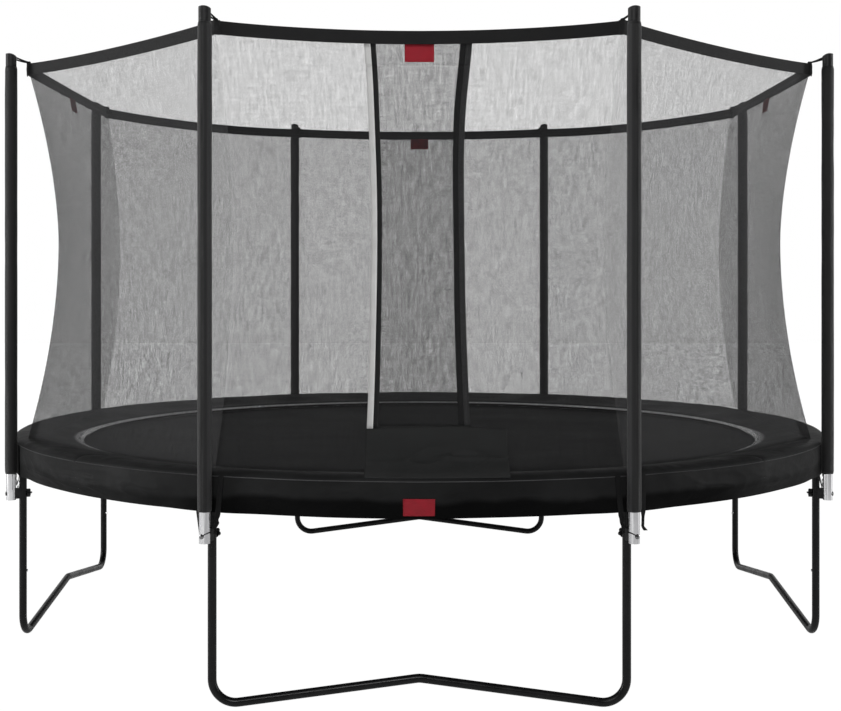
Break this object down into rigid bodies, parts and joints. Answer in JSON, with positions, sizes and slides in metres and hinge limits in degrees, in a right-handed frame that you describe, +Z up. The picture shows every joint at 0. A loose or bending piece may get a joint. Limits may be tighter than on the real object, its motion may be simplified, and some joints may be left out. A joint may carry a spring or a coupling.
{
  "type": "trampoline",
  "caption": "Round garden trampoline on bent W legs, with sprung mat, safety pad and a pole-hung safety net that has an overlapped entrance.",
  "frame": {"origin": "on the ground, at the middle of the ring", "axes": "+Z up; the net's entrance faces -Y; +X to the right of someone who faces the entrance"},
  "size_m": [3.8044, 3.8053, 2.536],
  "materials": {
    "frame_steel": "satin black powder coat",
    "pole_steel": "bright galvanised tube",
    "zinc": "zinc plated",
    "black_plastic": "moulded, fine grain",
    "sleeve_cloth": "tight black cloth over foam",
    "mat_cloth": "woven black polypropylene",
    "webbing": "black woven webbing",
    "pad_vinyl": "satin black coated cloth",
    "net_mesh": "fine black knitted mesh",
    "band_cloth": "black tape",
    "binding_white": "white and black edge tape",
    "binding_grey": "dark grey edge tape",
    "tag_red": "woven red label, plain"
  },
  "bodies": {
    "frame": {"frame_rail_1": "frame_steel", "frame_rail_2": "frame_steel", "frame_rail_3": "frame_steel", "frame_rail_4": "frame_steel", "frame_rail_5": "frame_steel", "frame_rail_6": "frame_steel", "frame_rail_7": "frame_steel", "frame_rail_8": "frame_steel", "frame_tees": "frame_steel", "assembly_screws": "zinc", "leg_upright_1": "frame_steel", "leg_upright_2": "frame_steel", "leg_upright_3": "frame_steel", "leg_upright_4": "frame_steel", "leg_upright_5": "frame_steel", "leg_upright_6": "frame_steel", "leg_upright_7": "frame_steel", "leg_upright_8": "frame_steel", "leg_base_1": "frame_steel", "leg_base_2": "frame_steel", "leg_base_3": "frame_steel", "leg_base_4": "frame_steel", "pole_1": "pole_steel", "pole_2": "pole_steel", "pole_3": "pole_steel", "pole_4": "pole_steel", "pole_5": "pole_steel", "pole_6": "pole_steel", "pole_7": "pole_steel", "pole_8": "pole_steel", "pole_sleeves": "sleeve_cloth", "pole_caps": "black_plastic", "pole_saddles": "black_plastic", "clamp_bolts": "zinc", "clamp_knobs": "black_plastic", "springs": "zinc", "pad_section_1": "pad_vinyl", "pad_section_2": "pad_vinyl", "pad_section_3": "pad_vinyl", "pad_section_4": "pad_vinyl", "pad_straps": "webbing", "net_panel_1": "net_mesh", "net_panel_2": "net_mesh", "net_panel_3": "net_mesh", "net_panel_4": "net_mesh", "net_panel_5": "net_mesh", "net_panel_6": "net_mesh", "net_panel_7": "net_mesh", "net_panel_8": "net_mesh", "net_top_band": "band_cloth", "net_elastics": "webbing", "entrance_threshold": "pad_vinyl", "tags": "tag_red"},
    "mat": {"jumping_mat": "mat_cloth", "mat_webbing": "webbing", "mat_rings": "zinc"},
    "outer_flap": {"entrance_flap_outer": "net_mesh", "entrance_binding_outer": "binding_white"},
    "inner_flap": {"entrance_flap_inner": "net_mesh", "entrance_binding_inner": "binding_grey"}
  },
  "joints": [
    {"name": "mat_bounce", "type": "slide", "parent": "frame", "child": "mat", "axis": [0, 0, 1], "range_m": [-0.15, 0], "stiffness_N_per_m": 6000, "springref_m": 0.05, "deforming": ["springs"]},
    {"name": "outer_flap_swing", "type": "hinge", "parent": "frame", "child": "outer_flap", "pos_m": [0.161, -1.68, 1.68], "axis": [0, 0, 1], "range_deg": [0, 55], "stiffness_Nm_per_rad": 1},
    {"name": "inner_flap_swing", "type": "hinge", "parent": "frame", "child": "inner_flap", "pos_m": [-0.161, -1.575, 1.68], "axis": [0, 0, 1], "range_deg": [0, 55], "stiffness_Nm_per_rad": 1}
  ]
}
